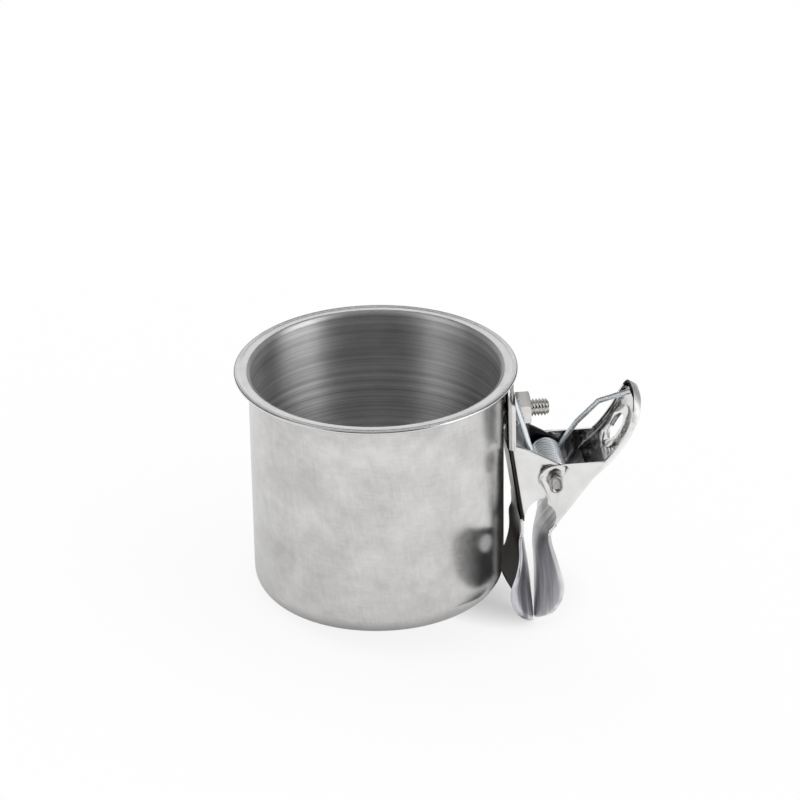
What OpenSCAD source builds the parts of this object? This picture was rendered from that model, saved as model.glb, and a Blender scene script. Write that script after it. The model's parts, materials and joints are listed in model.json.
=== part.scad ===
// Seed cup: a drawn steel cup bolted to a sprung two-lever cage clip.
// Millimetres, +Z up. The origin is the centre of the cup's flat underside,
// and the clip stands off along +X with its hinge pin along Y.

/* [Cup] */
// Outer diameter of the wall just under the lip
cup_d = 55.6; // [44:0.1:80]
// How much narrower the wall is at the foot
cup_taper = 0.8; // [0:0.1:3]
// Height from the underside to the top of the lip
cup_h = 52.4; // [50:0.1:90]
// Sheet thickness of the cup
cup_wall = 0.5; // [0.3:0.05:1]
// Outer radius between the wall and the base
foot_r = 6; // [2:0.1:8]
// How far the lip stands out from the wall
lip_w = 3.1; // [2.6:0.1:6]
// Height of the folded edge of the lip
lip_fold = 0.85; // [0.7:0.05:1.4]
// Width of the sheet folded back under the edge of the lip
lip_hem = 1.3; // [0.9:0.1:1.6]
// Radius where the wall turns into the lip
lip_r = 1.4; // [1.1:0.1:1.8]

/* [Screw, washer and nut] */
// Thread diameter of the screw
screw_d = 4; // [3:0.5:5]
// Length of the screw under its head
screw_len = 11; // [9:0.5:14]
// Diameter of the screw's head
head_d = 8; // [6:0.5:9]
// Height of the screw's head
head_h = 2.6; // [1.5:0.1:4]
// Height of the screw above the underside of the cup
screw_z = 39.8; // [38:0.1:41]
// Width across the flats of the nut
nut_af = 7; // [6:0.1:8]
// Thickness of the nut
nut_t = 3.2; // [2:0.1:4]
// Outer diameter of the lock washer
washer_d = 7.4; // [6:0.1:8.5]
// Thickness of the lock washer
washer_t = 1; // [0.6:0.1:1.5]

/* [Clip] */
// Sheet thickness of the two levers
sheet = 0.7; // [0.5:0.05:1]
// Distance of the hinge pin from the cup's wall
pin_out = 10.1; // [8:0.1:13]
// Height of the hinge pin above the underside of the cup
pin_z = 26; // [22:0.1:30]
// Distance from the pin down to the tips of the jaws
jaw_len = 38.8; // [30:0.1:48]
// Half of the widest part of the jaws
jaw_hw = 8.5; // [7.6:0.1:10]
// Half of the outer width of the fixed lever over its ears
fixed_hw = 7.8; // [7:0.1:9]
// Radius of the rounded ends of the ears round the pin
ear_r = 3.4; // [2.6:0.1:4.5]
// Height of the flange that runs round both handles
flange = 1.7; // [1.6:0.1:3]
// Outer radius of the bends between web and ears
bend_r = 1.5; // [1.1:0.1:1.6]
// Height of the top of the fixed handle above the pin
grip_h = 23.2; // [18:0.1:26]
// Distance from the pin to the outer face of the moving web
web_reach = 7.5; // [7.3:0.1:7.6]
// Length of the moving web above the point nearest the pin
web_up = 4.2; // [4:0.2:4.4]
// Length of the moving web below that point
web_down = 10.8; // [8:0.1:13]
// Diameter of the hole in each handle
eye_d = 6.3; // [4.5:0.1:6.5]
// Diameter of the raised ring round each hole
ring_d = 10.3; // [8:0.1:11]
// Height of the raised ring
ring_h = 0.8; // [0.3:0.1:1.2]

/* [Hinge pin] */
// Diameter of the hinge pin
pin_d = 3; // [2.4:0.1:3.4]
// How far the pin stands out past the moving ears
pin_proud = 2.3; // [1:0.1:3]
// Length of the oval that each end of the pin is pressed to
oval_l = 4.7; // [3.5:0.1:6]

/* [Torsion spring] */
// Diameter of the spring wire
wire_d = 1.2; // [0.8:0.05:1.3]
// Mean diameter of the coil
coil_d = 5.4; // [4.7:0.1:6]
// Whole turns of the coil, apart from the part turn between the arms
coil_turns = 7; // [4:1:7]

/* [Hidden] */
$fn = 72;

// Clearances, the depth that a plate lies under a face, and the overrun of cuts
seat_gap = 0.05;
run_gap = 0.06;
ear_gap = 0.2;
hole_gap = 0.15;
tuck = 0.02;
cut = 1;

// Angles: lean of the fixed web, rise of the moving web, slope where the
// moving handle starts, the angle that it sweeps and the place of its hole
web_lean = 8;
web_rise = 52.7;
grip_slope = 39;
grip_sweep = 38.5;
eye_angle = 18.2;

// Radius of the bend between the moving web and its handle, and of the handle's
// curve: the two are fitted together with the angles above
kink_r = 8;
grip_r = 29;

// Turn of the pin's ovals and of the cut in the washer
oval_turn = 6;
split_turn = 20;

// Places of the clip, from the cup's wall outwards
cup_r = cup_d / 2;
web_x = cup_r + seat_gap;
pin_x = cup_r + pin_out;
moving_hw = fixed_hw + ear_gap + sheet;
ear_top_share = 0.84;
handle_z = ear_top_share * pin_out;
grip_corner_share = 0.85;
crown_share = 0.75;

// Outlines of the ears round the pin, in shares of pin_out and web_reach
fixed_ear_shares = [[-1.2, 0.84], [-0.8, 0.82], [-0.55, 0.72], [0.16, 0.30],
                    [0.10, -0.31], [-0.15, -0.42], [-0.15, -1], [-1.2, -1]];
fixed_window_shares = [-0.15, -0.96];
fixed_window_r_share = 0.505;
moving_ear_shares = [[2, 0.45], [2, -1.82], [-0.2, -1.82], [-0.2, -0.6], [-0.4, -0.2]];
moving_window_shares = [-0.48, -1.22];
moving_window_r_share = 0.52;

// Jaw stations: share of jaw_len below the pin, ridge towards the cup as a
// share of pin_out, flare of the edges and half width as shares of jaw_hw
fixed_jaw_shares = [
    [0.250, 0.675, 0.00, 0.88], [0.330, 0.645, 0.03, 0.86], [0.385, 0.62, 0.13, 0.92],
    [0.490, 0.560, 0.20, 0.92], [0.590, 0.500, 0.34, 0.96], [0.695, 0.45, 0.52, 1.00],
    [0.800, 0.415, 0.56, 0.95], [0.900, 0.385, 0.54, 0.72], [0.975, 0.375, 0.50, 0.30],
    [1.000, 0.375, 0.48, 0.06]];
moving_jaw_shares = [
    [0.300, 0.025, 0.00, 0.96], [0.345, 0.185, 0.06, 0.93], [0.410, 0.33, 0.27, 0.92],
    [0.490, 0.380, 0.42, 0.94], [0.590, 0.365, 0.50, 0.97], [0.695, 0.350, 0.54, 1.00],
    [0.795, 0.350, 0.53, 0.93], [0.885, 0.355, 0.50, 0.72], [0.955, 0.360, 0.46, 0.32],
    [0.980, 0.362, 0.44, 0.06]];
jaw_stations = 28;
jaw_across = 16;
// Power of the curve from ridge to edge: 1 is straight, 2 a parabola
jaw_bow = 1.7;

// Colours
steel = [0.80, 0.80, 0.80];
bright = [0.88, 0.88, 0.88];
zinc = [0.70, 0.76, 0.80];

// Points of an arc round c from angle a to angle b
function arc(c, r, a, b, n = 8) =
    [for (i = [0:n]) c + r * [cos(a + (b - a) * i / n), sin(a + (b - a) * i / n)]];

// Catmull-Rom curve through rows of numbers, u from 0 to len(rows) - 1
function curve_row(rows, u) =
    let (
        last = len(rows) - 1,
        i = min(floor(u), last - 1),
        f = u - i,
        p0 = rows[max(i - 1, 0)],
        p1 = rows[i],
        p2 = rows[i + 1],
        p3 = rows[min(i + 2, last)]
    )
    0.5 * (2 * p1 + (p2 - p0) * f + (2 * p0 - 5 * p1 + 4 * p2 - p3) * f * f
           + (3 * p1 - p0 - 3 * p2 + p3) * f * f * f);

// Triangles between a stack of rings, each a closed loop of n points
function side_faces(rings, n) =
    [for (i = [0:rings - 2], j = [0:n - 1], k = [0, 1])
        let (a = i * n + j, b = i * n + (j + 1) % n)
        k == 0 ? [a, b, b + n] : [a, b + n, a + n]];

// Triangles over a ring that runs out along one side and back along the other
function strip_cap(first, n) =
    [for (j = [0:n / 2 - 2], k = [0, 1])
        k == 0 ? [first + j, first + n - 2 - j, first + j + 1]
               : [first + j, first + n - 1 - j, first + n - 2 - j]];

function flipped(faces) = [for (f = faces) [f[2], f[1], f[0]]];

// The cup: one drawn shell, turned round Z, with a hole for the screw
module cup() {
    foot = cup_r - cup_taper / 2;
    turn = [cup_r - cup_wall + lip_r, cup_h - lip_r];
    lip_out = cup_r + lip_w;
    fold_r = lip_fold / 2;
    outer = concat(
        [[0, 0]],
        arc([foot - foot_r, foot_r], foot_r, -90, 0),
        arc(turn, lip_r - cup_wall, 180, 90),
        [[lip_out - lip_hem, cup_h - cup_wall], [lip_out - lip_hem, cup_h - lip_fold]],
        arc([lip_out - fold_r, cup_h - fold_r], fold_r, -90, 90));
    inner = concat(
        arc(turn, lip_r, 90, 180),
        arc([foot - foot_r, foot_r], foot_r - cup_wall, 0, -90),
        [[0, cup_wall]]);
    color(steel)
    difference() {
        rotate_extrude($fn = 144) polygon(concat(outer, inner));
        translate([0, 0, screw_z]) rotate([0, 90, 0])
            cylinder(d = screw_d + 2 * hole_gap, h = cup_d);
    }
}

// Inner radius of the cup's tapered wall at a height z
function bore_r(z) =
    cup_r - cup_wall - cup_taper / 2 * (cup_h - lip_r - z) / (cup_h - lip_r - foot_r);

// Where the flat underside of the screw's head meets the cup's curved wall
head_x = sqrt(pow(bore_r(screw_z), 2) - pow(head_d / 2, 2)) - seat_gap;

// Pan-head machine screw: its head is inside the cup, its end past the nut
module mounting_screw() {
    crown = crown_share * head_h;
    color(bright)
    translate([head_x, 0, screw_z]) rotate([0, 90, 0]) rotate_extrude() polygon(concat(
        [[0, screw_len], [screw_d / 2, screw_len], [screw_d / 2, 0], [head_d / 2, 0]],
        arc([head_d / 2 - crown, crown - head_h], crown, 0, -90),
        [[0, -head_h]]));
}

// What is clamped by the nut: web, raised ring, washer
ring_x = web_x + sheet + ring_h;
washer_x = ring_x + seat_gap;
nut_x = washer_x + washer_t + seat_gap;

// Split spring washer, a ring with one slanted cut
module lock_washer() {
    split = washer_t;
    color(zinc)
    translate([washer_x, 0, screw_z]) rotate([0, 90, 0]) difference() {
        cylinder(d = washer_d, h = washer_t);
        translate([0, 0, -cut]) cylinder(d = screw_d + 2 * seat_gap, h = washer_t + 2 * cut);
        rotate([split_turn, 0, 0]) translate([-washer_d, -split / 2, -2 * washer_t])
            cube([washer_d, split, 5 * washer_t]);
    }
}

// Hexagon nut, chamfered on both faces, with corners facing sideways
module hex_nut() {
    corner_r = nut_af / 2 / cos(30);
    bevel = corner_r - nut_af / 2;
    color(bright)
    translate([nut_x, 0, screw_z]) rotate([0, 90, 0]) difference() {
        intersection() {
            cylinder(r = corner_r, h = nut_t, $fn = 6);
            rotate_extrude() polygon([
                [0, 0], [nut_af / 2, 0], [corner_r, bevel / 2], [corner_r, nut_t - bevel / 2],
                [nut_af / 2, nut_t], [0, nut_t]]);
        }
        translate([0, 0, -cut]) cylinder(d = screw_d + 2 * seat_gap, h = nut_t + 2 * cut);
    }
}

// Closed outline of a U: web along y at x = 0, bends, then sides reaching out
module u_outline(hw, r, reach) {
    polygon(concat(
        [[reach, -hw]], arc([r, r - hw], r, -90, -180), arc([r, hw - r], r, 180, 90),
        [[reach, hw]]));
}

// Sheet bent to a U, opening along +x
module u_sheet(hw, reach) {
    difference() {
        u_outline(hw, bend_r, reach);
        translate([sheet, 0]) u_outline(hw - sheet, bend_r - sheet, reach + cut);
    }
}

// An outline in the x-z plane made solid across the clip's width
module across(hw) {
    rotate([90, 0, 0]) translate([0, 0, -hw]) linear_extrude(2 * hw) children();
}

// Outline of an ear round the pin: rounded end and body, less the window
module ear_outline(points, window, window_r) {
    difference() {
        union() {
            circle(ear_r);
            polygon(points);
        }
        translate(window) circle(window_r);
    }
}

// One jaw: a bowed leaf with a central ridge, lofted from the neck to the tip.
// side is 1 where the ridge faces away from the cup and -1 where it faces it.
module jaw(shares, side) {
    rows = [for (i = [0:jaw_stations]) curve_row(shares, i * (len(shares) - 1) / jaw_stations)];
    n = 2 * (jaw_across + 1);
    // x, y, z of a point at v from -1 to 1 across a row, depth into the sheet
    function leaf_point(row, v, depth) =
        let (
            y = v * row[3] * jaw_hw,
            flare = row[2] * jaw_hw,
            slope = flare * jaw_bow * pow(abs(y) / jaw_hw, jaw_bow - 1) / jaw_hw,
            bow = flare * pow(abs(y) / jaw_hw, jaw_bow)
        )
        [-row[1] * pin_out - side * (bow + depth * sqrt(1 + slope * slope)), y, -row[0] * jaw_len];
    points = [for (row = rows) each concat(
        [for (j = [0:jaw_across]) leaf_point(row, 2 * j / jaw_across - 1, 0)],
        [for (j = [jaw_across:-1:0]) leaf_point(row, 2 * j / jaw_across - 1, sheet)])];
    faces = concat(
        side_faces(len(rows), n), strip_cap(0, n), flipped(strip_cap((len(rows) - 1) * n, n)));
    polyhedron(points, side < 0 ? flipped(faces) : faces);
}

// Rim of a pressed tray: web from x = 0 out to reach, then a bend and flange
module rim(reach) {
    polygon(concat(
        [[0, 0]], arc([reach - bend_r, bend_r], bend_r, -90, 0),
        [[reach, flange], [reach - sheet, flange]],
        arc([reach - bend_r, bend_r], bend_r - sheet, 0, -90),
        [[0, sheet]]));
}

// Flat handle of the fixed lever, upright on the cup's wall, its flange outwards
module fixed_handle() {
    corner = grip_corner_share * fixed_hw;
    top = grip_h - corner;
    rotate([0, 90, 0]) union() {
        translate([-top, 0, 0]) rotate([0, 0, 90]) round_end(corner, fixed_hw - corner);
        for (s = [-1, 1])
            translate([-handle_z + cut, 0, 0]) mirror([0, s < 0 ? 1 : 0, 0])
                rotate([90, 0, -90]) linear_extrude(top - handle_z + cut) rim(fixed_hw);
    }
}

// Half-round end of a tray: two quarter turns of the rim and the piece between
module round_end(corner, half_flat) {
    for (s = [0, 1]) mirror([s, 0, 0])
        translate([half_flat, 0, 0]) rotate_extrude(angle = 90) rim(corner);
    translate([-half_flat, 0, 0]) rotate([90, 0, 90]) linear_extrude(2 * half_flat) rim(corner);
}

// The bore for the pin through both ears of a lever
module pin_bore(hw, gap) {
    translate([pin_x, 0, pin_z]) rotate([90, 0, 0])
        cylinder(r = pin_d / 2 + gap, h = 2 * hw + 2 * cut, center = true);
}

// Fixed lever: handle, channel with two ears, and jaw
module fixed_lever() {
    long = 2 * pin_out;
    color(steel)
    difference() {
        union() {
            translate([web_x, 0, pin_z]) fixed_handle();
            intersection() {
                translate([web_x, 0, pin_z + handle_z]) rotate([0, -web_lean, 0])
                    translate([0, 0, -long]) linear_extrude(long + cut) u_sheet(fixed_hw, long);
                translate([pin_x, 0, pin_z]) across(fixed_hw + cut)
                    ear_outline(pin_out * fixed_ear_shares, pin_out * fixed_window_shares,
                                pin_out * fixed_window_r_share);
            }
            translate([pin_x, 0, pin_z]) jaw(fixed_jaw_shares, 1);
            translate([web_x + sheet / 2, 0, screw_z]) rotate([0, 90, 0])
                cylinder(d = ring_d, h = sheet / 2 + ring_h);
        }
        pin_bore(fixed_hw, run_gap);
        translate([web_x - cut, 0, screw_z]) rotate([0, 90, 0])
            cylinder(d = ring_d - 2 * sheet, h = ring_h + cut);
        translate([web_x, 0, screw_z]) rotate([0, 90, 0])
            cylinder(d = eye_d, h = 2 * flange);
    }
}

// Moving lever, x and z round the pin: the straight web, a kink the other way
// round kink_c, and the handle's curve round grip_c as far as grip_tip
web_dir = [cos(web_rise), sin(web_rise)];
web_out = [sin(web_rise), -cos(web_rise)];
grip_out = [sin(grip_slope), -cos(grip_slope)];
kink_c = web_up * web_dir + (web_reach + kink_r) * web_out;
grip_c = kink_c - (kink_r + grip_r) * grip_out;
grip_tip = grip_c + grip_r * [sin(grip_slope + grip_sweep), -cos(grip_slope + grip_sweep)];

// Profile of the curved handle: a U lying across its curve, or what it encloses
module grip_profile(inset) {
    hw = moving_hw - inset;
    r = bend_r - inset;
    out = grip_r - inset;
    low = grip_r - flange - (inset > 0 ? cut : 0);
    polygon(concat(
        [[low, -hw]], arc([out - r, r - hw], r, -90, 0), arc([out - r, hw - r], r, 0, 90),
        [[low, hw]]));
}

// The curved handle's outline seen along its middle: straight sides, rounded end
module grip_end(inset) {
    hw = moving_hw - inset;
    r = grip_corner_share * moving_hw - inset;
    end = grip_r * sin(grip_sweep / 2) - inset;
    polygon(concat(
        [[grip_r, -hw]], arc([r - end, r - hw], r, -90, -180), arc([r - end, hw - r], r, 180, 90),
        [[grip_r, hw]]));
}

// A solid piece of the handle's curve, trimmed to its outline
module grip_solid(inset) {
    spare = inset > 0 ? cut : 0;
    intersection() {
        rotate([90, 0, 0]) rotate([0, 0, -90 - spare])
            rotate_extrude(angle = 2 * grip_sweep, $fn = 144) grip_profile(inset);
        rotate([0, 180 - grip_sweep / 2, 0]) translate([0, 0, grip_r / 2])
            linear_extrude(grip_r) grip_end(inset);
    }
}

// From the pin to the kink's centre, +Z turned to point at the curve's centre
module at_kink() {
    translate([kink_c[0], 0, kink_c[1]]) rotate([0, -grip_slope, 0]) children();
}

// From the pin to the centre of the handle's curve, turned as at_kink
module at_grip() {
    translate([grip_c[0], 0, grip_c[1]]) rotate([0, -grip_slope, 0]) children();
}

// From the pin to that centre, +Z turned so that it points at the handle's hole
module at_eye() {
    at_grip() rotate([0, 180 - eye_angle, 0]) children();
}

// The bend between web and handle, its U opening away from the kink's centre
module kink() {
    rotate([90, 0, 0]) rotate([0, 0, 90]) rotate_extrude(angle = web_rise - grip_slope)
        translate([kink_r, 0]) u_sheet(moving_hw, flange);
}

// Outline of the moving ears
module moving_ear() {
    ear_outline(concat([[0, ear_r]], web_reach * moving_ear_shares),
                web_reach * moving_window_shares, web_reach * moving_window_r_share);
}

// The ears beyond the end of the web, as far as the flange of kink and handle,
// tucked in under the faces that they meet
module ear_tops() {
    for (s = [-1, 1]) translate([0, s * (moving_hw - sheet / 2), 0]) rotate([90, 0, 0])
        linear_extrude(sheet - 2 * tuck, center = true) intersection() {
            moving_ear();
            polygon(concat(
                [[0, web_reach], [0, 0], kink_c - (kink_r + bend_r) * web_out],
                arc(grip_c, grip_r - bend_r, grip_slope - 90, grip_slope)));
        }
}

// Moving lever: ears outside the fixed ones, web, curved handle and jaw
module moving_lever() {
    color(steel)
    translate([pin_x, 0, pin_z]) difference() {
        union() {
            intersection() {
                rotate([0, -web_rise, 0]) translate([web_up, 0, -web_reach]) rotate([0, -90, 0])
                    linear_extrude(web_up + web_down) u_sheet(moving_hw, 3 * web_reach);
                across(moving_hw + cut) moving_ear();
            }
            ear_tops();
            at_kink() kink();
            at_grip() difference() {
                grip_solid(0);
                grip_solid(sheet);
            }
            jaw(moving_jaw_shares, -1);
            at_eye() translate([0, 0, grip_r - sheet - ring_h])
                cylinder(d = ring_d, h = sheet / 2 + ring_h);
        }
        rotate([90, 0, 0]) cylinder(r = pin_d / 2 + run_gap, h = 2 * moving_hw + 2 * cut, center = true);
        at_eye() {
            translate([0, 0, grip_r - ring_h]) cylinder(d = ring_d - 2 * sheet, h = ring_h + cut);
            translate([0, 0, grip_r - 2 * flange]) cylinder(d = eye_d, h = 4 * flange);
        }
    }
}

// Hinge pin, its ends pressed to ovals that hold it in
module pivot_pin() {
    shaft_hw = moving_hw + pin_proud;
    head_t = pin_proud - run_gap;
    color(bright)
    translate([pin_x, 0, pin_z]) rotate([90, oval_turn, 0]) union() {
        cylinder(d = pin_d, h = 2 * shaft_hw, center = true);
        for (s = [-1, 1])
            translate([0, 0, s * (shaft_hw - head_t / 2)]) linear_extrude(head_t, center = true)
                for (t = [-1, 1]) {
                    translate([0, t * (oval_l - pin_d) / 2]) circle(d = pin_d);
                    translate([0, t * (oval_l - pin_d) / 4])
                        square([pin_d, (oval_l - pin_d) / 2], center = true);
                }
    }
}

// Torsion spring: one wire, swept along a path that a formula gives. The coil
// starts where the first arm touches it and ends where the second one leaves.
coil_r = coil_d / 2;
coil_hw = fixed_hw - sheet - wire_d / 2 - ear_gap;
first_angle = 203;
last_angle = 345;
coil_sweep = 360 * coil_turns + last_angle - first_angle;
coil_rings = 8 * coil_turns + 3;

// Ends and bends of the arms round the pin, hand chosen: the first lies on the
// fixed web, in shares of grip_h, and the second reaches in under the moving
// handle's tip, in shares of the tip's distance
first_arm_shares = [[-0.375, -0.235, 0.845], [-0.3, -0.255, 0.56], [-0.19, -0.27, 0.22]];
last_arm_shares = [[0.1214, 0.241, 0.0495], [0.270, 0.207, 0.261], [0.449, 0.144, 0.476],
                   [0.508, 0.117, 0.526], [0.593, 0.054, 0.580], [0.709, 0, 0.624]];

function coil_point(i) =
    let (a = first_angle + coil_sweep * i / coil_rings)
    [coil_r * cos(a), coil_hw * (2 * i / coil_rings - 1), coil_r * sin(a)];

spring_path = concat(
    grip_h * first_arm_shares,
    [for (i = [0:coil_rings]) coil_point(i)],
    norm(grip_tip) * last_arm_shares);

function unit(v) = v / norm(v);
function path_dir(path, i) =
    unit(path[min(i + 1, len(path) - 1)] - path[max(i - 1, 0)]);

// Carries the side vector of each ring on from the one before, without twist
function carry(path, i, side) =
    let (d = path_dir(path, i), s = unit(side - (side * d) * d))
    i == len(path) - 1 ? [s] : concat([s], carry(path, i + 1, s));

function wire_points(path, r, n) =
    let (sides = carry(path, 0, [0, 1, 0]))
    [for (i = [0:len(path) - 1], j = [0:n - 1])
        let (a = 360 * j / n, d = path_dir(path, i))
        path[i] + r * (cos(a) * sides[i] + sin(a) * cross(d, sides[i]))];

// Least gap of the wire to itself, between path points half a curl or more apart
spring_gap = min([for (i = [0:len(spring_path) - 1], j = [i + 4:1:len(spring_path) - 1])
    norm(spring_path[i] - spring_path[j])]) - wire_d;
echo(least_gap_of_spring_mm = spring_gap);

module torsion_spring() {
    n = 6;
    color(zinc)
    translate([pin_x, 0, pin_z]) polyhedron(
        wire_points(spring_path, wire_d / 2, n),
        flipped(concat(side_faces(len(spring_path), n), strip_cap(0, n),
                       flipped(strip_cap((len(spring_path) - 1) * n, n)))));
}

cup();
mounting_screw();
lock_washer();
hex_nut();
fixed_lever();
moving_lever();
pivot_pin();
torsion_spring();
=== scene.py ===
import json
from math import atan2, cos, pi, radians, sin, sqrt, tan

import bmesh
import bpy
from mathutils import Matrix, Quaternion, Vector


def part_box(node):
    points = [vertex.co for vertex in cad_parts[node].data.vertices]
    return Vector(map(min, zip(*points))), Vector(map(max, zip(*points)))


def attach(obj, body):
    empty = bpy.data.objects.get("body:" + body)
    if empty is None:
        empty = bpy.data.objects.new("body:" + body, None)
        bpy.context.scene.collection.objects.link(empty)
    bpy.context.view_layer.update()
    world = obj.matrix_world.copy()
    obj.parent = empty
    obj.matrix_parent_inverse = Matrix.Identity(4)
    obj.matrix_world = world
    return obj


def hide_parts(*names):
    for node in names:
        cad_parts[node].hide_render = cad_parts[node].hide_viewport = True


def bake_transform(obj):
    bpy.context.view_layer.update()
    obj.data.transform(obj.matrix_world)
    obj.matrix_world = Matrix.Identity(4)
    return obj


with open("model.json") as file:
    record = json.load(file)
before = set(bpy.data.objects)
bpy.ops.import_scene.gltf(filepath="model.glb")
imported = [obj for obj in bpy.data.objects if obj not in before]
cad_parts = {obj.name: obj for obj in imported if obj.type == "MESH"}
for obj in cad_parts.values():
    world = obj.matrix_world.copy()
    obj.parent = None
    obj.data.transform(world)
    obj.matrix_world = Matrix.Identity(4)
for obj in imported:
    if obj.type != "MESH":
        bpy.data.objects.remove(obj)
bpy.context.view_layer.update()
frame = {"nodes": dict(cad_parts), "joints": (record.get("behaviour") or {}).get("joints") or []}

# The cup. One disc of stainless steel, drawn deep, its rim turned out flat and
# hemmed under. The outside is satin brushed, the inside keeps the rings of the
# drawing tool, and the lip is polished bright.

mm = 0.001
cup_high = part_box("cup")[1]
lip_radius = cup_high.x
cup_height = cup_high.z
lip_width = 3.1 * mm
lip_edge = 0.78 * mm
lip_hem = 1.3 * mm
hem_round = 0.15 * mm
lip_turn = 1.2 * mm
groove_out = 0.9 * mm
groove_steps = ((0, 0.1), (0.12, 0.06), (0.3, 0.02))
cup_taper = 0.4 * mm
cup_wall = 0.5 * mm
foot_turn = 5.1 * mm
foot_shade = 4.5 * mm
cup_radius = lip_radius - lip_width
cup_steps = 256
polished_steps = 4


def arc(centre, radius, start, end, steps):
    """Points round a centre, from one angle to another in degrees."""
    turns = [radians(start + (end - start) * i / steps) for i in range(steps + 1)]
    return [(centre[0] + radius * cos(t), centre[1] + radius * sin(t)) for t in turns]


def plain_mesh(name, corners, faces, materials, slots=None):
    """An object made of corners and faces, all smooth. slots gives each face's material."""
    mesh = bpy.data.meshes.new(name)
    mesh.from_pydata([tuple(c) for c in corners], [], faces)
    for material in materials:
        mesh.materials.append(material)
    if slots:
        mesh.polygons.foreach_set("material_index", slots)
    mesh.polygons.foreach_set("use_smooth", [True] * len(mesh.polygons))
    mesh.update()
    piece = bpy.data.objects.new(name, mesh)
    bpy.context.scene.collection.objects.link(piece)
    return piece


def sharpen(piece, angle):
    """Marks the edges that bend by more than an angle as sharp."""
    piece.data.set_sharp_from_angle(angle=radians(angle))


def turned(name, profile, materials, steps, parts=None, axis="Z"):
    """A profile of (radius, height) turned round an axis. parts gives each step's material."""
    corners, rings = [], []
    for radius, height in profile:
        if radius == 0:
            rings.append([len(corners)] * steps)
            corners.append(Vector((0, 0, height)))
            continue
        rings.append(list(range(len(corners), len(corners) + steps)))
        for i in range(steps):
            t = 2 * pi * i / steps
            corners.append(Vector((radius * cos(t), radius * sin(t), height)))
    faces, slots = [], []
    for k, (low, high) in enumerate(zip(rings, rings[1:])):
        for i in range(steps):
            j = (i + 1) % steps
            face = list(dict.fromkeys((low[i], low[j], high[j], high[i])))
            if len(face) > 2:
                faces.append(face)
                slots.append(parts[k] if parts else 0)
    if axis == "X":
        corners = [Vector((c.z, c.x, c.y)) for c in corners]
    return plain_mesh(name, corners, faces, materials, slots)


def add(tree, kind, inputs=(), **settings):
    """Adds a node, sets its options and fills its inputs with values or sockets."""
    node = tree.nodes.new(kind)
    for key, value in settings.items():
        setattr(node, key, value)
    for key, value in dict(inputs).items():
        if isinstance(value, bpy.types.NodeSocket):
            tree.links.new(value, node.inputs[key])
        else:
            node.inputs[key].default_value = value
    return node


def number(tree, operation, *values):
    """The result of a sum on numbers or sockets."""
    return add(tree, "ShaderNodeMath", dict(enumerate(values)), operation=operation).outputs[0]


def mixture(tree, first, second):
    """The sum of two values, each given with its share."""
    return number(tree, "ADD", number(tree, "MULTIPLY", *first), number(tree, "MULTIPLY", *second))


def object_place(tree):
    """Object coordinates."""
    return add(tree, "ShaderNodeTexCoord").outputs["Object"]


def object_axis(tree, axis):
    """One of the object coordinates: X, Y or Z."""
    return add(tree, "ShaderNodeSeparateXYZ", {0: object_place(tree)}).outputs[axis]


def unrolled(tree):
    """Object coordinates unrolled off the cup's wall, the height, and the distance from its axis."""
    x, y, height = (object_axis(tree, axis) for axis in "XYZ")
    turn = number(tree, "ARCTAN2", y, x)
    squares = number(tree, "ADD", number(tree, "POWER", x, 2), number(tree, "POWER", y, 2))
    out = number(tree, "SQRT", squares)
    flat = add(tree, "ShaderNodeCombineXYZ", {
        "X": number(tree, "MULTIPLY", turn, cup_radius), "Y": height, "Z": out})
    return flat.outputs[0], height, out


def leaning(tree, where, angle):
    """A vector turned round Z by an angle in degrees."""
    return add(tree, "ShaderNodeMapping", {
        "Vector": where, "Rotation": (0, 0, radians(angle))}).outputs[0]


def noise(tree, where, scale, detail=3, rough=0.55, stretch=(1, 1, 1)):
    """Soft noise from 0 to 1 on a vector, stretched along its axes."""
    moved = add(tree, "ShaderNodeMapping", {"Vector": where, "Scale": stretch})
    return add(tree, "ShaderNodeTexNoise", {
        "Vector": moved.outputs[0], "Scale": scale, "Detail": detail, "Roughness": rough,
    }).outputs["Fac"]


def spread(tree, value, low, high, to_low=0, to_high=1):
    """A value moved from one range to another, and kept inside it."""
    return add(tree, "ShaderNodeMapRange", {
        "Value": value, "From Min": low, "From Max": high, "To Min": to_low, "To Max": to_high,
    }).outputs[0]


def tinted(tree, value, dark, light):
    """A colour between two, each a colour or a socket, by a value from 0 to 1."""
    dark, light = (c if isinstance(c, bpy.types.NodeSocket) else (*c, 1) for c in (dark, light))
    mixed = add(tree, "ShaderNodeMix", {"Factor": value, "A": dark, "B": light}, data_type="RGBA")
    return mixed.outputs["Result"]


def metal(name, grey, roughness):
    """A metal material, its shader and its node tree."""
    material = bpy.data.materials.new(name)
    material.use_nodes = True
    tree = material.node_tree
    shader = tree.nodes["Principled BSDF"]
    shader.inputs["Base Color"].default_value = (*grey, 1)
    shader.inputs["Metallic"].default_value = 1
    shader.inputs["Roughness"].default_value = roughness
    material.diffuse_color = (*grey, 1)
    return material, shader, tree


def coat(tree, shader, colour=None, rough=None, relief=None, strength=0, depth=0):
    """Links a colour, a roughness and a fine relief to a shader, each where it is given."""
    if relief:
        bump = add(tree, "ShaderNodeBump", {
            "Height": relief, "Strength": strength, "Distance": depth})
        tree.links.new(bump.outputs[0], shader.inputs["Normal"])
    if colour:
        tree.links.new(colour, shader.inputs["Base Color"])
    if rough:
        tree.links.new(rough, shader.inputs["Roughness"])


def grained(tree, shader, strength, rotation):
    """Draws highlights out along or across a grain that runs round the cup's axis."""
    shader.inputs["Anisotropic"].default_value = strength
    shader.inputs["Anisotropic Rotation"].default_value = rotation
    round_axis = add(tree, "ShaderNodeTangent", direction_type="RADIAL", axis="Z")
    tree.links.new(round_axis.outputs[0], shader.inputs["Tangent"])


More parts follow.
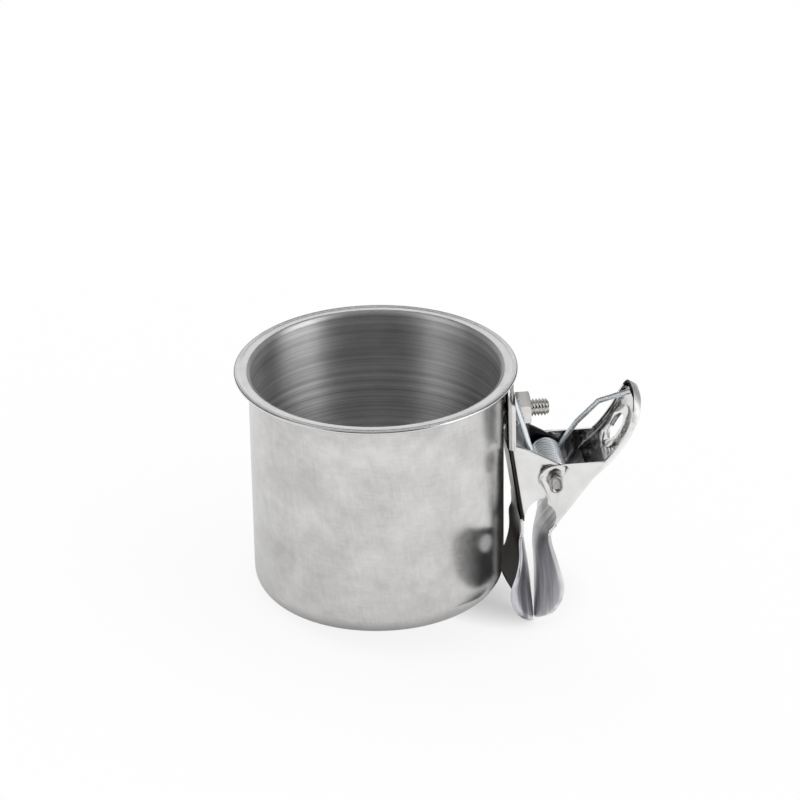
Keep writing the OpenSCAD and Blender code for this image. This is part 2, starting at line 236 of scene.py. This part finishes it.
def satin_outside():
    """Brushed wall: stained tone, fine scratches that cross at a slant, and painted shade that
    darkens the foot.
    """
    material, shader, tree = metal("cup_satin", (0.68, 0.68, 0.67), 0.17)
    flat, height, _ = unrolled(tree)
    mottle = noise(tree, flat, 80, detail=7, rough=0.7)
    hatch = noise(tree, leaning(tree, flat, 5), 1900, rough=0.6, stretch=(0.14, 1, 1))
    brushed = noise(tree, leaning(tree, flat, -9), 2300, detail=2, rough=0.6, stretch=(1, 0.1, 1))
    crossed = mixture(tree, (brushed, 0.5), (hatch, 0.5))
    tone = mixture(tree, (mottle, 0.72), (crossed, 0.28))
    unshaded = tinted(tree, spread(tree, tone, 0.38, 0.62), (0.52, 0.51, 0.505), (0.70, 0.695, 0.69))
    # Painted shade: the wall's colour darkens over the lowest foot_shade of its height, towards the
    # floor.
    colour = tinted(tree, spread(tree, height, 0, foot_shade), (0.3, 0.29, 0.285), unshaded)
    rough = spread(tree, tone, 0.3, 0.7, 0.17, 0.28)
    coat(tree, shader, colour, rough, crossed, strength=0.12, depth=0.02 * mm)
    grained(tree, shader, strength=0.6, rotation=0)
    return material


def drawn_inside():
    """Inner wall and floor: fine rings left by the drawing tool, uneven from ring to ring."""
    material, shader, tree = metal("cup_drawn", (0.76, 0.76, 0.76), 0.3)
    flat, height, out = unrolled(tree)
    ringed = add(tree, "ShaderNodeCombineXYZ", {"X": number(tree, "ADD", height, out)}).outputs[0]
    wide = noise(tree, ringed, 900, detail=4, rough=0.7)
    fine = noise(tree, ringed, 3500, detail=2, rough=0.6)
    mottle = noise(tree, flat, 120, detail=4, rough=0.6, stretch=(0.4, 1, 1))
    tone = mixture(tree, (wide, 0.7), (mottle, 0.3))
    colour = tinted(tree, spread(tree, tone, 0.38, 0.62), (0.52, 0.52, 0.52), (1.0, 1.0, 1.0))
    rough = spread(tree, tone, 0.3, 0.7, 0.42, 0.54)
    rings = mixture(tree, (wide, 1), (fine, 0.4))
    coat(tree, shader, colour, rough, rings, strength=0.35, depth=0.04 * mm)
    grained(tree, shader, strength=0.92, rotation=0.25)
    return material


def polished_lip():
    """Turned and polished rim, with hairlines that run round it."""
    material, shader, tree = metal("cup_lip", (0.68, 0.68, 0.68), 0.3)
    hairs = noise(tree, unrolled(tree)[0], 2500, detail=2, rough=0.5, stretch=(0.03, 1, 1))
    worn = noise(tree, object_place(tree), 220, detail=4)
    rough = spread(tree, number(tree, "ADD", hairs, worn), 0.7, 1.3, 0.16, 0.3)
    coat(tree, shader, rough=rough, relief=hairs, strength=0.15, depth=0.02 * mm)
    return material


foot_radius = cup_radius - cup_taper - foot_turn
turn_centre = (cup_radius - cup_wall + lip_turn, cup_height - lip_turn)
fold_round = lip_edge / 2
under = [(0, 0), (foot_radius / 2, 0)]
under += arc((foot_radius, foot_turn), foot_turn, -90, 0, steps=20)
under += [(cup_radius - cup_taper / 2, cup_height / 2)]
under += arc(turn_centre, lip_turn - cup_wall, 180, 90, steps=8)
under += [(lip_radius - lip_hem, cup_height - cup_wall)]
under += arc((lip_radius - lip_hem, cup_height - lip_edge + hem_round), hem_round, 180, 270, steps=3)
fold = arc((lip_radius - fold_round, cup_height - fold_round), fold_round, -90, 125, steps=14)
groove = [(lip_radius - groove_out - inward * mm, cup_height - sunk * mm)
          for inward, sunk in groove_steps]
throat = arc(turn_centre, lip_turn, 90, 180, steps=12)
inside = [(cup_radius - cup_wall - cup_taper / 2, cup_height / 2)]
inside += arc((foot_radius, foot_turn), foot_turn - cup_wall, 0, -90, steps=20)
inside += [(foot_radius / 2, cup_wall), (0, cup_wall)]
cup_parts = [0] * (len(under) - 1)
cup_parts += [2] * (len(fold) + len(groove) + polished_steps)
cup_parts += [1] * (len(throat) + len(inside) - polished_steps)
cup = turned("cup_shell", under + fold + groove + throat + inside,
             [satin_outside(), drawn_inside(), polished_lip()], cup_steps, cup_parts)
sharpen(cup, 50)
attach(cup, "frame")
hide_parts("cup")

# The two levers. Each is one piece of spring steel sheet, pressed to shape and
# nickel plated: a flanged handle with a raised ring, a channel whose sides are
# the ears round the pin, and a ridged jaw. The fixed one is screwed to the cup.

edge_round = 0.14 * mm
edge_bend = 33
weld = 0.004 * mm
flat_bend = 0.4
jaw_top = 15 * mm
rim_top = 12 * mm
far_ear = 2 * mm
handle_foot = 27 * mm
flange_foot = 36 * mm
ring_half = 5.5 * mm
tip_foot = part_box("moving_lever")[1].z - 3 * mm
far_shade_from = 33.5 * mm
far_shade_to = 35.5 * mm
far_shade_waver = 1.5 * mm
plain_grey = (0.93, 0.925, 0.92)
tilted, slanted, sideways, square_on = 0.2, 0.35, 0.5, 0.9


def nickel(name, grey, roughness, grazing=1):
    """Plated sheet: cloudy polish, a duller tone in patches and press lines down its length."""
    material, shader, tree = metal(name, grey, roughness)
    shader.inputs["Specular Tint"].default_value = (grazing, grazing, grazing, 1)
    place = object_place(tree)
    cloud = noise(tree, place, 160, detail=4, rough=0.6)
    lines = noise(tree, place, 700, detail=2, rough=0.5, stretch=(0.02, 1, 0.02))
    wave = noise(tree, place, 260, detail=2, rough=0.4)
    colour = tinted(tree, spread(tree, cloud, 0.35, 0.65),
                    [0.9 * g for g in grey], [1.04 * g for g in grey])
    rough = spread(tree, cloud, 0.3, 0.7, roughness * 0.7, roughness * 1.4)
    dents = mixture(tree, (lines, 1.2), (wave, 1))
    coat(tree, shader, colour, rough, dents, strength=0.2, depth=0.1 * mm)
    return material


def reflection_striped(name, dark, light, roughness, stretch=(0.3, 1, 0.06), clear=None):
    """Plated sheet with painted reflections in dark and light stripes. clear gives the stretch along
    Y in which they fade out to plain plate."""
    material, shader, tree = metal(name, light, roughness)
    lines = noise(tree, object_place(tree), 420, rough=0.6, stretch=stretch)
    # Painted reflections: the colour runs in dark and light stripes.
    colour = tinted(tree, spread(tree, lines, 0.4, 0.6), dark, light)
    if clear:
        faded = spread(tree, object_axis(tree, "Y"), *clear)
        colour = tinted(tree, faded, colour, plain_grey)
    coat(tree, shader, colour, relief=lines, strength=0.25, depth=0.1 * mm)
    return material


def shadowed(name, light, dark, roughness):
    """Plated sheet of the far ear with painted shade: bright beside the cup, painted dark under the
    coil.
    """
    material, shader, tree = metal(name, light, roughness)
    cloud = noise(tree, object_place(tree), 300, rough=0.6)
    along = mixture(tree, (object_axis(tree, "X"), 1), (cloud, far_shade_waver))
    depth = spread(tree, along, far_shade_from, far_shade_to)
    coat(tree, shader, tinted(tree, depth, light, dark))
    return material


def keep_result(piece):
    """Swaps a piece's mesh for the one that its modifiers give, and drops them."""
    bpy.context.view_layer.update()
    solid = bpy.data.meshes.new_from_object(
        piece.evaluated_get(bpy.context.evaluated_depsgraph_get()))
    piece.modifiers.clear()
    piece.data = solid
    solid.name = piece.name


def finished(name, node, materials, body, round_by, bend=edge_bend, chosen=None):
    """A pressed or turned piece: its CAD surface made one skin, with its edges rounded.
    chosen gives a face's material, by the face's middle and the way that it faces."""
    shape = bmesh.new()
    shape.from_mesh(frame["nodes"][node].data)
    bmesh.ops.remove_doubles(shape, verts=shape.verts, dist=weld)
    bmesh.ops.dissolve_degenerate(shape, edges=shape.edges, dist=weld)
    bmesh.ops.dissolve_limit(shape, angle_limit=radians(flat_bend), verts=shape.verts,
                             edges=shape.edges, delimit={"NORMAL"})
    mesh = bpy.data.meshes.new(name)
    shape.to_mesh(mesh)
    shape.free()
    mesh.materials.clear()
    for material in materials:
        mesh.materials.append(material)
    for face in mesh.polygons:
        face.use_smooth = True
        face.material_index = materials.index(chosen(face.center, face.normal)) if chosen else 0
    piece = bpy.data.objects.new(name, mesh)
    bpy.context.scene.collection.objects.link(piece)
    rounding = piece.modifiers.new("rounded_edges", "BEVEL")
    rounding.width = round_by
    rounding.segments = 2
    rounding.limit_method = "ANGLE"
    rounding.angle_limit = radians(bend)
    rounding.harden_normals = True
    rounding.material = 0
    keep_result(piece)
    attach(piece, body)
    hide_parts(node)


lever_plate = nickel("lever_nickel", (0.80, 0.795, 0.785), 0.16)
# Painted shade: a near-black plate on the lever faces towards the cup, inside the moving tip, and
# low inside the fixed far ear.
shaded_back_plate = nickel("lever_nickel_back_painted_shade", (0.085, 0.08, 0.077), 0.2, grazing=0.3)
# Painted shade: the fixed far ear grades from plain plate beside the cup to near black under the
# coil.
far_shaded_plate = shadowed("lever_nickel_far_painted_shade", (0.62, 0.62, 0.62), (0.04, 0.04, 0.045), 0.2)
# Painted shade with painted reflection streaks inside the moving lever's far ear.
shade_plate = reflection_striped("lever_nickel_shade", (0.05, 0.05, 0.055), (0.6, 0.59, 0.58), 0.14,
                      stretch=(1, 0.1, 0.25))
# Painted light: these two plates are a lighter grey than the rest of the sheet, with a rougher
# finish; the lighter grey paints the lit outside of the moving handle and a highlight inside its
# ring.
dull_lit_plate = nickel("lever_nickel_dull_lit", (0.93, 0.925, 0.915), 0.5)
satin_lit_plate = nickel("lever_nickel_satin_lit", (0.9, 0.895, 0.885), 0.36)
# Painted reflections: stripes, dark on the fixed leaf and light on the moving leaf.
fixed_leaf = reflection_striped("fixed_leaf_nickel", (0.24, 0.245, 0.275), (0.72, 0.72, 0.75), 0.3,
                     clear=(-1.5 * mm, 0.5 * mm))
moving_leaf = reflection_striped("moving_leaf_nickel", (0.62, 0.61, 0.63), (1.0, 0.99, 1.0), 0.42,
                      stretch=(0.3, 1.2, 0.06))


def inside_far_ear(middle, out):
    """Whether a face lies on the inside of a far ear."""
    return middle.y > far_ear and out.y < -sideways


def fixed_plate_and_shade(middle, out):
    """The fixed lever's plate and painted light for each face: painted reflection stripes on its
    leaf and the leaf's rim, painted shade on its back, and painted shade in its far ear.
    """
    on_rim = out.x > -slanted and middle.z < rim_top and middle.y < far_ear
    if middle.z < jaw_top and (out.x > tilted or on_rim):
        return fixed_leaf
    if out.x < -(slanted if middle.z < flange_foot else square_on):
        return shaded_back_plate
    if inside_far_ear(middle, out):
        return shaded_back_plate if middle.z < jaw_top else far_shaded_plate
    return lever_plate


def moving_plate_and_shade(middle, out):
    """The moving lever's plate and painted light for each face: painted shade inside its tip, a
    lighter grey as painted light inside its ring and outside its handle, painted reflection stripes
    on its leaf and the leaf's rim, and painted shade inside its far ear."""
    if out.x < -tilted and middle.z > tip_foot:
        return shaded_back_plate
    if out.x < -tilted and middle.z > flange_foot and abs(middle.y) < ring_half:
        return satin_lit_plate
    if out.x > tilted and middle.z > handle_foot:
        return dull_lit_plate
    on_rim = out.x < slanted and middle.z < rim_top
    if middle.z < jaw_top and (out.x < -tilted or on_rim):
        return moving_leaf
    return shade_plate if inside_far_ear(middle, out) else lever_plate


finished("fixed_clip_lever", "fixed_lever", [lever_plate, far_shaded_plate, shaded_back_plate, fixed_leaf],
         "frame", edge_round, chosen=fixed_plate_and_shade)
finished("moving_clip_lever", "moving_lever",
         [lever_plate, shade_plate, moving_leaf, dull_lit_plate, satin_lit_plate, shaded_back_plate],
         "lever", edge_round, chosen=moving_plate_and_shade)

# The hinge pin. A steel rod through all four ears, turned down, its two ends
# pressed to dished ovals that keep it in.

pin_axis = Vector(frame["joints"][0]["pos_m"])
pin_radius = 1.5 * mm
oval_length = 4.25 * mm
oval_width = 2.9 * mm
oval_lean = 6
oval_round = 0.22 * mm
oval_steps = 48
head_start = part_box("moving_lever")[1].y + 0.06 * mm
head_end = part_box("pivot_pin")[1].y
dish_rim = 0.38 * mm
dish_depth = 0.45 * mm
dish_rings = ((2.0, 0.0), (3.2, 0.7), (4.6, 1.0))
double_gap = 0.001 * mm


def oval(length, width, height):
    """Corners of an upright oval round the pin's axis, at a height along it."""
    radius = width / 2
    lift = (length - width) / 2
    ring = []
    for i in range(oval_steps):
        t = 2 * pi * i / oval_steps
        ring.append((radius * cos(t), height, radius * sin(t) + (lift if sin(t) >= 0 else -lift)))
    return ring


def skinned(name, rings, materials):
    """Rings of corners joined into one closed skin."""
    count = len(rings[0])
    corners = [Vector(c) for ring in rings for c in ring]
    faces = []
    for k in range(len(rings) - 1):
        for i in range(count):
            j = (i + 1) % count
            faces.append((k * count + i, k * count + j, (k + 1) * count + j, (k + 1) * count + i))
    faces.append(tuple(reversed(range(count))))
    faces.append(tuple(range(len(corners) - count, len(corners))))
    return plain_mesh(name, corners, faces, materials)


def face_out(piece):
    """Merges doubles and turns every face outwards."""
    shape = bmesh.new()
    shape.from_mesh(piece.data)
    bmesh.ops.remove_doubles(shape, verts=shape.verts, dist=double_gap)
    bmesh.ops.recalc_face_normals(shape, faces=shape.faces)
    shape.to_mesh(piece.data)
    shape.free()


def pressed_pin():
    """Satin steel with a darker, rougher pressed face."""
    material, shader, tree = metal("pin_pressed", (0.62, 0.61, 0.60), 0.28)
    spots = noise(tree, object_place(tree), 1400, detail=4, rough=0.65)
    colour = tinted(tree, spread(tree, spots, 0.35, 0.65), (0.30, 0.29, 0.28), (0.52, 0.51, 0.50))
    coat(tree, shader, colour, relief=spots, strength=0.4, depth=0.05 * mm)
    return material


half_rings = [(pin_radius * 2, pin_radius * 2, head_start)]
head_edges = arc((0, head_start + oval_round), oval_round, -90, 0, steps=4)
head_edges += arc((0, head_end - oval_round), oval_round, 0, 90, steps=4)
for reach, height in head_edges:
    narrower = 2 * (oval_round - reach)
    half_rings.append((oval_length - narrower, oval_width - narrower, height))
for inset, sunk in dish_rings:
    half_rings.append((oval_length - inset * dish_rim, oval_width - inset * dish_rim,
                       head_end - sunk * dish_depth))
pin_rings = [oval(length, width, -height) for length, width, height in reversed(half_rings)]
pin_rings += [oval(length, width, height) for length, width, height in half_rings]
pin = skinned("hinge_pin", pin_rings, [pressed_pin()])
pin.data.transform(Matrix.Translation(pin_axis) @ Matrix.Rotation(radians(-oval_lean), 4, "Y"))
face_out(pin)
sharpen(pin, 40)
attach(pin, "frame")
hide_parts("pivot_pin")

# The torsion spring. Zinc-plated hard wire, wound close round the pin, one arm
# up the fixed lever beside the nut and one bent in under the moving handle's tip.

wire = 1.2 * mm
wire_sides = 16
coil_radius = 2.7 * mm
coil_half = 6.3 * mm
coil_turns = 10
turn_points = 24
part_turn_points = 10
first_angle, last_angle = 203, 345
first_arm = [(-8.7, -5.45, 19.6), (-6.2, -5.95, 11.5)]
last_arm = [(6.97, 5.34, 6.74), (11.59, 3.72, 12.29), (18.3, 0.0, 16.1)]
arm_lead = 1.2 * wire
bend_radius = 1.6 * mm


def rounded_route(points, radius, steps=8):
    """A route of straight stretches, with a round bend in place of each corner."""
    route = [points[0]]
    for before, corner, after in zip(points, points[1:], points[2:]):
        back_way, on_way = (before - corner).normalized(), (after - corner).normalized()
        turn = back_way.angle(on_way)
        cut = min(radius / tan(turn / 2), (before - corner).length / 2, (after - corner).length / 2)
        start, end = corner + back_way * cut, corner + on_way * cut
        for i in range(steps + 1):
            t = i / steps
            route.append(start * (1 - t) ** 2 + corner * 2 * t * (1 - t) + end * t * t)
    return route + [points[-1]]


def wire_tree():
    """Sweeps a round wire along a route. Inputs: the wire's diameter, its sides and its finish."""
    tree = bpy.data.node_groups.new("wire_along_route", "GeometryNodeTree")
    for name, kind in (("Route", "Geometry"), ("Wire diameter", "Float"), ("Sides", "Int"),
                       ("Finish", "Material")):
        tree.interface.new_socket(name, in_out="INPUT", socket_type="NodeSocket" + kind)
    tree.interface.new_socket("Wire", in_out="OUTPUT", socket_type="NodeSocketGeometry")
    given = tree.nodes.new("NodeGroupInput").outputs
    line = add(tree, "GeometryNodeMeshToCurve", {"Mesh": given["Route"]})
    half = number(tree, "MULTIPLY", given["Wire diameter"], 0.5)
    ring = add(tree, "GeometryNodeCurvePrimitiveCircle", {
        "Resolution": given["Sides"], "Radius": half})
    swept = add(tree, "GeometryNodeCurveToMesh", {
        "Curve": line.outputs[0], "Profile Curve": ring.outputs[0], "Fill Caps": True})
    smooth = add(tree, "GeometryNodeSetShadeSmooth", {"Geometry": swept.outputs[0]})
    real = add(tree, "GeometryNodeRealizeInstances", {"Geometry": smooth.outputs[0]})
    finish = add(tree, "GeometryNodeSetMaterial", {
        "Geometry": real.outputs[0], "Material": given["Finish"]})
    add(tree, "NodeGroupOutput", {"Wire": finish.outputs[0]})
    return tree


def grown(piece, tree, values):
    """Runs a geometry tree on a piece with its named inputs, and keeps the plain mesh."""
    modifier = piece.modifiers.new(tree.name, "NODES")
    modifier.node_group = tree
    for socket in tree.interface.items_tree:
        if socket.item_type == "SOCKET" and socket.name in values:
            modifier[socket.identifier] = values[socket.name]
    keep_result(piece)


def zinc():
    """Bright zinc on wire: cool tone, faint drawing lines and white bloom."""
    material, shader, tree = metal("spring_zinc_wire", (0.62, 0.68, 0.72), 0.24)
    place = object_place(tree)
    bloom = noise(tree, place, 500, detail=4, rough=0.6)
    fine = noise(tree, place, 3500, detail=2, rough=0.5)
    colour = tinted(tree, spread(tree, bloom, 0.35, 0.65), (0.80, 0.86, 0.90), (0.88, 0.92, 0.95))
    rough = spread(tree, bloom, 0.3, 0.7, 0.32, 0.42)
    coat(tree, shader, colour, rough, fine, strength=0.06, depth=0.02 * mm)
    return material


sweep = 360 * coil_turns + last_angle - first_angle
coil_points = turn_points * coil_turns + part_turn_points
coil = []
for i in range(coil_points + 1):
    t = radians(first_angle + sweep * i / coil_points)
    coil.append(Vector((coil_radius * cos(t), coil_half * (2 * i / coil_points - 1),
                        coil_radius * sin(t))))
up_first = [Vector(p) * mm for p in first_arm]
up_last = [Vector(p) * mm for p in last_arm]
start_way = (coil[0] - coil[1]).normalized()
end_way = (coil[-1] - coil[-2]).normalized()
route = rounded_route(up_first + [coil[0] + start_way * arm_lead, coil[0]], bend_radius)[:-1]
route += coil
route += rounded_route([coil[-1], coil[-1] + end_way * arm_lead] + up_last, bend_radius)[1:]
route = [tuple(p + pin_axis) for p in route]
wire_route = bpy.data.meshes.new("spring_route")
wire_route.from_pydata(route, [(i, i + 1) for i in range(len(route) - 1)], [])
spring = bpy.data.objects.new("torsion_spring_wire", wire_route)
bpy.context.scene.collection.objects.link(spring)
grown(spring, wire_tree(), {"Wire diameter": wire, "Sides": wire_sides, "Finish": zinc()})
face_out(spring)
sharpen(spring, 50)
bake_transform(spring)
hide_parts("torsion_spring")

# The fixing. An M4 pan-head machine screw from inside the cup through wall and
# lever, a split spring washer and a chamfered hexagon nut, all stainless.

screw_low, screw_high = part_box("mounting_screw")
screw_axis_z = (screw_low.z + screw_high.z) / 2
head_radius = (screw_high.z - screw_low.z) / 2
head_height = 2.6 * mm
head_under = screw_low.x + head_height
head_lip = 0.1 * mm
head_steps = 64
crown = 0.75 * head_height
thread_pitch = 0.7 * mm
thread_outer = 1.93 * mm
thread_inner = 1.5 * mm
thread_from = head_under - 0.5 * mm
thread_steps = 48
rows_a_pitch = 10
crest_height = 1.25
flank_slope = 1.5
tip_radius = 0.9 * thread_inner
tip_slope = 1.1
recess_depth = 2.6 * mm
recess_slot = 0.9 * mm
recess_span = 4.2 * mm
recess_taper = 0.45
recess_turn = 20
washer_round = 0.05 * mm
nut_round = 0.07 * mm
nut_bend = 20


def fastener():
    """Stainless bar, turned: rings round each axis and a few stains."""
    material, shader, tree = metal("fastener_stainless", (0.66, 0.65, 0.63), 0.22)
    place = object_place(tree)
    stain = noise(tree, place, 420, detail=5, rough=0.65)
    fine = noise(tree, place, 2600, detail=2, rough=0.5, stretch=(0.2, 1, 1))
    colour = tinted(tree, spread(tree, stain, 0.35, 0.65), (0.64, 0.62, 0.59), (0.82, 0.81, 0.80))
    rough = spread(tree, stain, 0.3, 0.7, 0.16, 0.34)
    coat(tree, shader, colour, rough, fine, strength=0.2, depth=0.02 * mm)
    return material


stainless = fastener()
thread_length = screw_high.x - thread_from
row_count = round(thread_length / thread_pitch * rows_a_pitch)
thread_rings = []
for k in range(row_count + 1):
    x = thread_from + thread_length * k / row_count
    ring = []
    for i in range(thread_steps):
        t = 2 * pi * i / thread_steps
        phase = ((x - thread_from) / thread_pitch - i / thread_steps) % 1
        height = min(1, max(0, crest_height - abs(2 * phase - 1) * flank_slope))
        radius = thread_inner + (thread_outer - thread_inner) * height
        radius = min(radius, tip_radius + (screw_high.x - x) * tip_slope)
        ring.append((x, radius * cos(t), screw_axis_z + radius * sin(t)))
    thread_rings.append(ring)
thread = skinned("screw_thread", thread_rings, [stainless])
face_out(thread)
sharpen(thread, 35)
pan = [(0, 0), (thread_outer * 0.9, 0), (head_radius - head_lip, 0)]
pan += arc((head_radius - crown, crown - head_height), crown, 0, -90, steps=14)
pan += [(0, -head_height)]
head = turned("screw_head", [(r, head_under + h) for r, h in pan], [stainless], head_steps,
              axis="X")
head.data.transform(Matrix.Translation((0, 0, screw_axis_z)))
face_out(head)
recess = bmesh.new()
for turn in (0, 90):
    arm = bmesh.ops.create_cube(recess, size=1)["verts"]
    for v in arm:
        taper = 1 if v.co.x < 0 else recess_taper
        v.co = Vector((v.co.x * recess_depth, v.co.y * recess_slot, v.co.z * recess_span * taper))
    bmesh.ops.rotate(recess, verts=arm, matrix=Matrix.Rotation(radians(turn + recess_turn), 3, "X"))
cutter_mesh = bpy.data.meshes.new("cross_recess")
recess.to_mesh(cutter_mesh)
recess.free()
cutter_mesh.transform(Matrix.Translation((screw_low.x, 0, screw_axis_z)))
cutter = bpy.data.objects.new("cross_recess", cutter_mesh)
bpy.context.scene.collection.objects.link(cutter)
hollow = head.modifiers.new("cross_recess", "BOOLEAN")
hollow.object = cutter
hollow.use_self = True
keep_result(head)
bpy.data.objects.remove(cutter)
sharpen(head, 40)
for piece in (thread, head):
    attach(piece, "frame")
    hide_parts("mounting_screw")
finished("spring_washer", "lock_washer", [stainless], "frame", washer_round)
finished("hexagon_nut", "hex_nut", [stainless], "frame", nut_round, nut_bend)

# The studio. A pale floor that the cup and the jaw tips stand on, with a soft
# shade beside the clip, a white room, cards and small flags that only mirror
# rays see, and the camera at the photograph's angle.

rim_centre = Vector((0, 0, cup_height))
camera_azimuth, camera_elevation, camera_roll = -7, 27.02, -1.01
camera_distance = 1.5
sensor = 36
lens = 310.8
picture = 800
rim_pixel = (375.6, 367.2)
tip_x = 34.1 * mm
floor_size = 6
paper_white = (0.98, 0.98, 0.98, 1)
paper_seen, paper_mirrored = 0.87, 0.25
shade_middle = (-9 * mm, 18 * mm, 0)
shade_from, shade_to = 8 * mm, 26 * mm
shade_seen = 0.1
card_radius = 2.5
card_steps = 24

a, e = radians(camera_azimuth), radians(camera_elevation)
back = Vector((sin(a) * cos(e), -cos(a) * cos(e), sin(e)))
facing = (-back).to_track_quat("-Z", "Y") @ Quaternion((0, 0, 1), radians(camera_roll))
pixel = sensor / lens * camera_distance / picture
shift = Vector(((picture / 2 - rim_pixel[0]) * pixel, (rim_pixel[1] - picture / 2) * pixel, 0))
camera = bpy.data.objects.new("camera", bpy.data.cameras.new("camera"))
camera.data.sensor_width = sensor
camera.data.lens = lens
camera.location = rim_centre + facing @ shift + back * camera_distance
camera.rotation_mode = "QUATERNION"
camera.rotation_quaternion = facing
bpy.context.scene.collection.objects.link(camera)
bpy.context.scene.camera = camera
bpy.context.scene.view_settings.view_transform = "Standard"


def lit_grey(name, level):
    """A material of even light, its tree, its light and its output."""
    material = bpy.data.materials.new(name)
    material.use_nodes = True
    tree = material.node_tree
    tree.nodes.clear()
    light = add(tree, "ShaderNodeEmission", {"Color": (level, level, level, 1)})
    output = add(tree, "ShaderNodeOutputMaterial", {"Surface": light.outputs[0]})
    return material, tree, light, output


def lit_paper(name):
    """White paper, of which the camera and mirror rays see a share as even light, so that it
    keeps only part of its shadows. The camera's share is small in the shade beside the clip."""
    material, tree, light, output = lit_grey(name, 1)
    sheet = add(tree, "ShaderNodeBsdfDiffuse", {"Color": paper_white}).outputs[0]
    ray = add(tree, "ShaderNodeLightPath").outputs
    mirrored = number(tree, "MAXIMUM", ray["Is Glossy Ray"], ray["Is Transmission Ray"])
    away = add(tree, "ShaderNodeVectorMath", {0: object_place(tree), 1: shade_middle},
               operation="DISTANCE").outputs["Value"]
    seen = spread(tree, away, shade_from, shade_to, shade_seen, paper_seen)
    even = mixture(tree, (ray["Is Camera Ray"], seen), (mirrored, paper_mirrored))
    surface = add(tree, "ShaderNodeMixShader", {0: even, 1: sheet, 2: light.outputs[0]})
    tree.links.new(surface.outputs[0], output.inputs["Surface"])
    return material


def only_reflected(card):
    """Hides a card from everything but mirror rays."""
    for kind in ("camera", "diffuse", "shadow", "transmission", "volume_scatter"):
        setattr(card, "visible_" + kind, False)


def reflected_card(name, turns, heights, level):
    """A grey card on a great sphere round the cup, between two turns and two heights in degrees."""
    corners, faces = [], []
    for k in range(card_steps + 1):
        high = radians(heights[0] + (heights[1] - heights[0]) * k / card_steps)
        for i in range(card_steps + 1):
            turn = radians(turns[0] + (turns[1] - turns[0]) * i / card_steps)
            corners.append(card_radius * Vector(
                (sin(turn) * cos(high), -cos(turn) * cos(high), sin(high))))
    for k in range(card_steps):
        for i in range(card_steps):
            at = k * (card_steps + 1) + i
            faces.append((at, at + 1, at + card_steps + 2, at + card_steps + 1))
    only_reflected(plain_mesh(name, corners, faces, [lit_grey(name, level)[0]]))


def side_flag(name, across, outline, outer_level, inner_level):
    """A small flag beside the clip, graded along Y over the first two thirds of its width."""
    material, tree, light, _ = lit_grey(name, outer_level)
    outer, inner = min(outline)[0] * mm, max(outline)[0] * mm
    level = spread(tree, object_axis(tree, "Y"), outer, (outer + 2 * inner) / 3,
                   outer_level, inner_level)
    tree.links.new(level, light.inputs["Color"])
    corners = [Vector((across, y * mm, z * mm)) for y, z in outline]
    only_reflected(plain_mesh(name, corners, [tuple(range(len(corners)))], [material]))


jaw_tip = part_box("fixed_lever")[0].z
foot_from_tip = Vector((foot_radius + tip_x, foot_turn - jaw_tip))
floor_tilt = atan2(foot_from_tip.y, foot_from_tip.x) - atan2(
    foot_turn, sqrt(foot_from_tip.length ** 2 - foot_turn ** 2))
bpy.ops.mesh.primitive_grid_add(x_subdivisions=4, y_subdivisions=4, size=floor_size)
floor = bpy.context.object
floor.name = "studio_floor"
floor.location = (tip_x, 0, jaw_tip)
floor.rotation_euler = (0, floor_tilt, 0)
floor.data.materials.append(lit_paper("studio_floor"))

for card in (
        ("camera_side_card", (-54, 46), (6, 62), 0.04),
        ("right_softbox", (48, 84), (6, 62), 2.3),
        ("left_softbox", (-92, -56), (6, 62), 0.95),
        ("right_back_card", (86, 152), (6, 62), 0.12),
        ("left_back_card", (196, 266), (6, 62), 0.12),
        ("upper_back_card", (152, 196), (46, 62), 0.12),
        ("lower_back_card", (120, 240), (1, 18), 0.05),
        ("ceiling_card", (0, 360), (62, 90), 0.6)):
    reflected_card(*card)

side_flag("jaw_side_flag", 30.5 * mm, [
    (-32, 12.5), (-24, 15.5), (-14, 15), (-9, 14), (-9, 2), (-14, 0.5), (-19, 0), (-24, 0.5),
    (-29, 2), (-32, 5)], 0.5, 0.04)
side_flag("jaw_side_spot", 30 * mm, [
    (-17.6, 11.3), (-16.6, 13), (-14.4, 13.6), (-12.2, 13), (-11.2, 11.3), (-12.2, 9.6),
    (-14.4, 9), (-16.6, 9.6)], 0.6, 0.6)
side_flag("foot_side_flag", 36 * mm, [
    (-30, -9), (-24, -5.5), (-17, -4), (-10, -3.5), (-10, -12), (-30, -12)], 0.5, 0.12)

world = bpy.data.worlds.new("white_room")
bpy.context.scene.world = world
world.use_nodes = True
room = world.node_tree.nodes["Background"].inputs
room["Color"].default_value = (1, 1, 1, 1)
room["Strength"].default_value = 1
